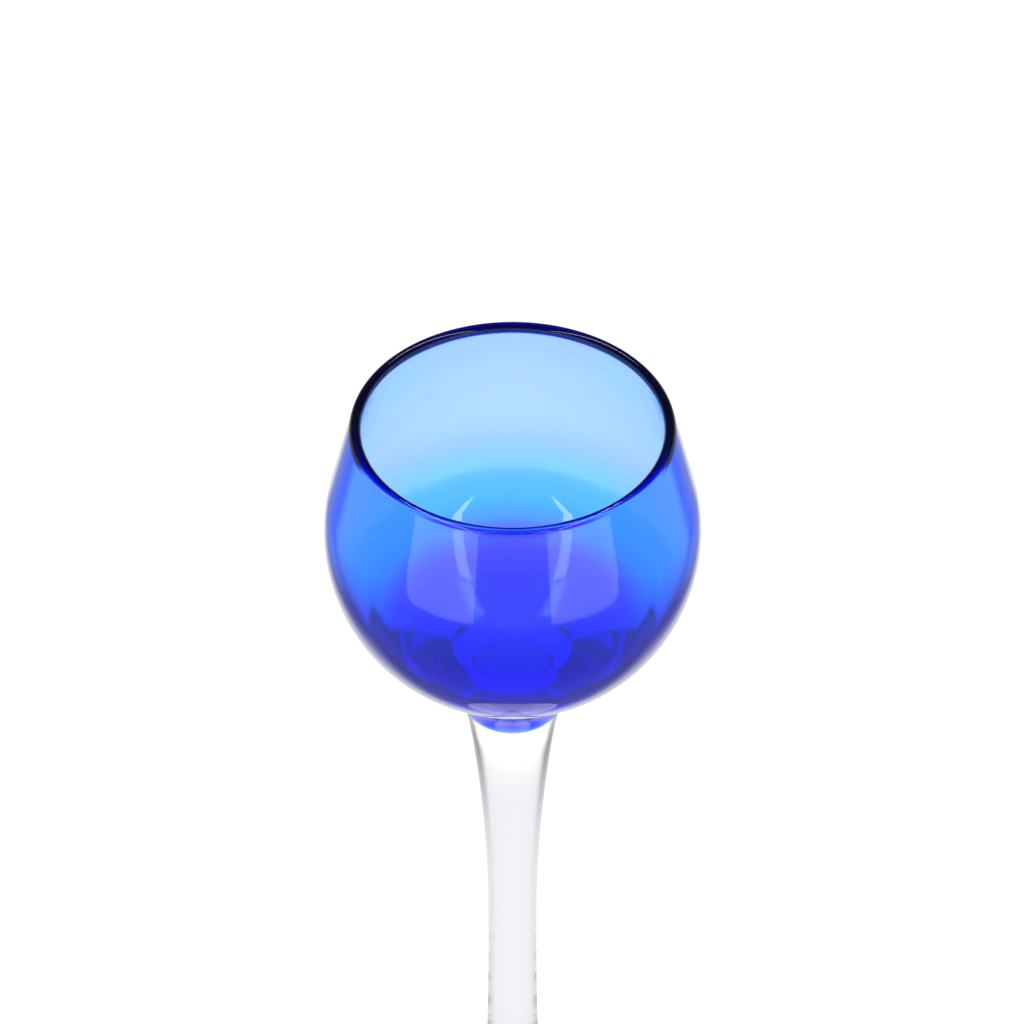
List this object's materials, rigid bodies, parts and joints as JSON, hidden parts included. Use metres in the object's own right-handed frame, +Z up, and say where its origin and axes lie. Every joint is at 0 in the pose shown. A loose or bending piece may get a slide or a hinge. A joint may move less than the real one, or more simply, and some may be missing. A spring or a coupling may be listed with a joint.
{
  "type": "cordial glass",
  "caption": "Stemmed cordial glass: blown cobalt-blue balloon bowl narrowing to a rounded lip, on a tall drawn clear stem that cups the bowl's tip, with a round clear foot.",
  "frame": {"origin": "centre of the flat ring that the foot stands on, at table level", "axes": "+Z up along the axis of the glass, foot to lip; the glass is round, so X and Y are any two square directions"},
  "size_m": [0.054, 0.054, 0.165],
  "materials": {
    "cobalt_glass": "transparent cobalt-blue blown glass, fire-polished",
    "clear_glass": "clear drawn and cast glass, fire-polished"
  },
  "bodies": {
    "root": {"bowl": "cobalt_glass", "stem": "clear_glass", "foot": "clear_glass"}
  },
  "joints": []
}
